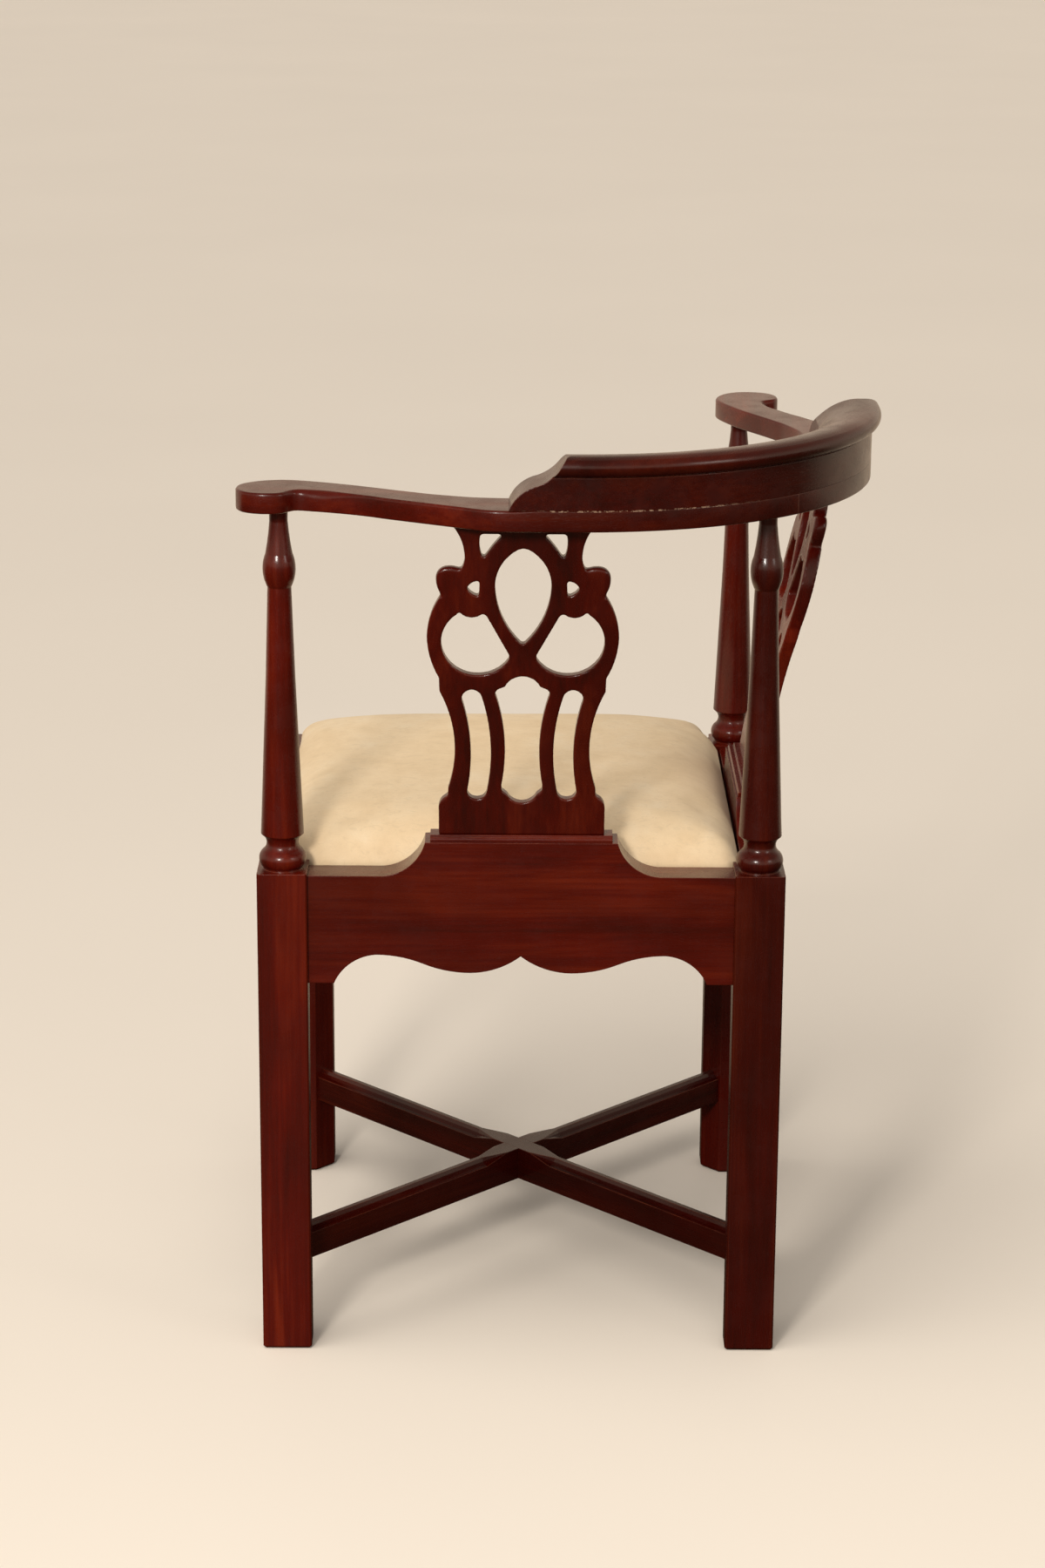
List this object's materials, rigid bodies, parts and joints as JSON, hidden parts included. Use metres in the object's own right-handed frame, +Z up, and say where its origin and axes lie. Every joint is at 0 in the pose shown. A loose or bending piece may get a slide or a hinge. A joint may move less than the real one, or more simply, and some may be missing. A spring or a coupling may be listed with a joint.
{
  "type": "corner chair",
  "caption": "Corner chair set diagonally: turned posts, two pierced splats, horseshoe arms with a moulded crest, scalloped rails, crossed stretchers and a slip seat.",
  "frame": {"origin": "on the floor, under the middle of the chair's outline", "axes": "+Z up; the seat frame is square to X and Y, the sitter faces -X +Y and the rear post is at +X -Y"},
  "size_m": [0.5493, 0.5493, 0.817],
  "materials": {
    "mahogany": "satin lacquer",
    "block_wood": "matte",
    "seat_ply": "matte",
    "foam": "matte",
    "seat_fabric": "soft matte",
    "dust_cloth": "matte"
  },
  "bodies": {
    "frame": {"left_post": "mahogany", "rear_post": "mahogany", "right_post": "mahogany", "front_leg": "mahogany", "rear_left_rail": "mahogany", "rear_right_rail": "mahogany", "front_left_rail": "mahogany", "front_right_rail": "mahogany", "rear_left_shoe": "mahogany", "rear_right_shoe": "mahogany", "rear_left_splat": "mahogany", "rear_right_splat": "mahogany", "left_arm": "mahogany", "right_arm": "mahogany", "crest_rail": "mahogany", "stretcher_left_right": "mahogany", "stretcher_front_rear": "mahogany", "left_corner_block": "block_wood", "rear_corner_block": "block_wood", "right_corner_block": "block_wood", "front_corner_block": "block_wood"},
    "slip_seat": {"seat_board": "seat_ply", "seat_foam": "foam", "seat_cover": "seat_fabric", "seat_dust_cover": "dust_cloth"}
  },
  "joints": [
    {"name": "seat_lift", "type": "slide", "parent": "frame", "child": "slip_seat", "axis": [0, 0, 1], "range_m": [0, 0.15]}
  ]
}
